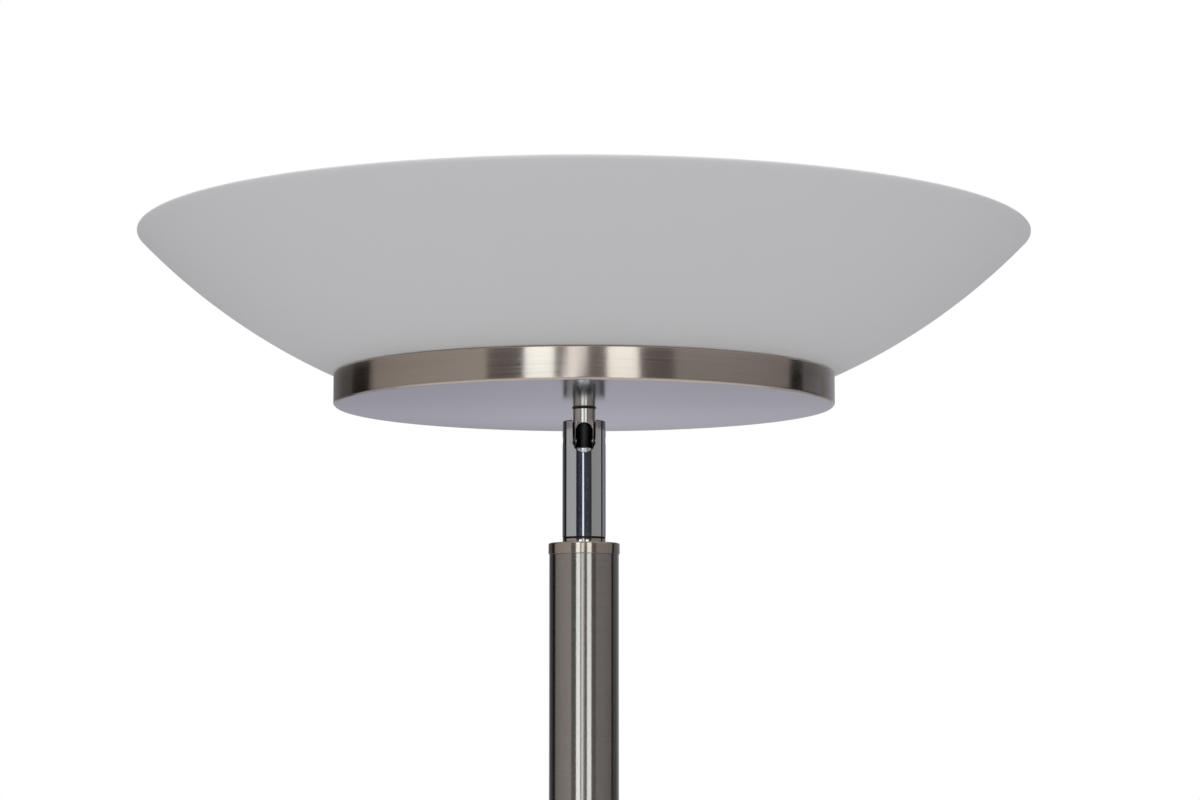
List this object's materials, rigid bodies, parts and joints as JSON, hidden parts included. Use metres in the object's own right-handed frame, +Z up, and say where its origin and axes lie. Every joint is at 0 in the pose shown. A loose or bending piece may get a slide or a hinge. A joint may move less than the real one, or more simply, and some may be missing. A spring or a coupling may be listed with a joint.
{
  "type": "torchiere floor lamp",
  "caption": "Torchiere floor lamp: a shallow opal glass uplighter bowl on a flat satin nickel pan, tilting forward on a slotted chrome joint on a slim pole with a round weighted base.",
  "frame": {"origin": "on the floor under the middle of the base", "axes": "+Z up along the pole; -Y is the front, where the slot of the tilt joint opens and towards which the head tilts; +X to the right seen from the front"},
  "size_m": [0.4108, 0.4108, 1.82],
  "materials": {
    "opal_glass": "satin etched white opal",
    "satin_nickel": "brushed round the axis and lacquered, satin",
    "satin_disc": "fine satin, nickel plated",
    "polished_chrome": "mirror polished",
    "zinc_steel": "zinc plated",
    "white_enamel": "baked white, semi gloss",
    "opal_acrylic": "opal, satin moulded",
    "white_board": "white solder mask on aluminium",
    "phosphor": "yellow phosphor gel",
    "pale_plastic": "moulded, fine texture",
    "silicone": "translucent white",
    "black_rubber": "matt",
    "black_nylon": "moulded",
    "black_pvc": "extruded, smooth",
    "blue_pvc": "extruded, smooth",
    "red_pvc": "extruded, smooth",
    "cast_iron": "black dipped, as cast"
  },
  "bodies": {
    "stand": {"joint_sleeve": "polished_chrome", "pivot_screws": "zinc_steel", "sleeve_nipple": "zinc_steel", "sleeve_washer": "black_nylon", "cap_washer": "zinc_steel", "sleeve_nut": "zinc_steel", "pole_cap": "satin_nickel", "pole_top": "satin_nickel", "pole_middle": "satin_nickel", "pole_bottom": "satin_nickel", "socket_inserts": "zinc_steel", "stud_inserts": "zinc_steel", "pole_foot": "satin_nickel", "foot_screws": "zinc_steel", "base_cover": "satin_disc", "base_weight": "cast_iron", "base_plate": "zinc_steel", "plate_screws": "zinc_steel", "foot_pads": "black_rubber", "cord_gland": "black_rubber", "base_terminal": "pale_plastic", "stand_lead": "black_pvc"},
    "head": {"glass_bowl": "opal_glass", "lower_gasket": "silicone", "upper_gasket": "silicone", "pan": "satin_nickel", "carrier_pillars": "zinc_steel", "led_carrier": "white_enamel", "carrier_screws": "zinc_steel", "led_board": "white_board", "led_chips": "phosphor", "board_screws": "zinc_steel", "diffuser": "opal_acrylic", "driver_case": "pale_plastic", "driver_screws": "zinc_steel", "head_terminal": "pale_plastic", "driver_wires": "blue_pvc", "led_wires": "red_pvc", "stem": "satin_nickel", "stem_washer": "black_nylon", "stem_lock_washer": "zinc_steel", "stem_nut": "zinc_steel", "stem_bushing": "black_nylon", "head_lead": "black_pvc"}
  },
  "joints": [
    {"name": "head_tilt", "type": "hinge", "parent": "stand", "child": "head", "pos_m": [0, 0, 1.72577], "axis": [1, 0, 0], "range_deg": [0, 85]}
  ]
}
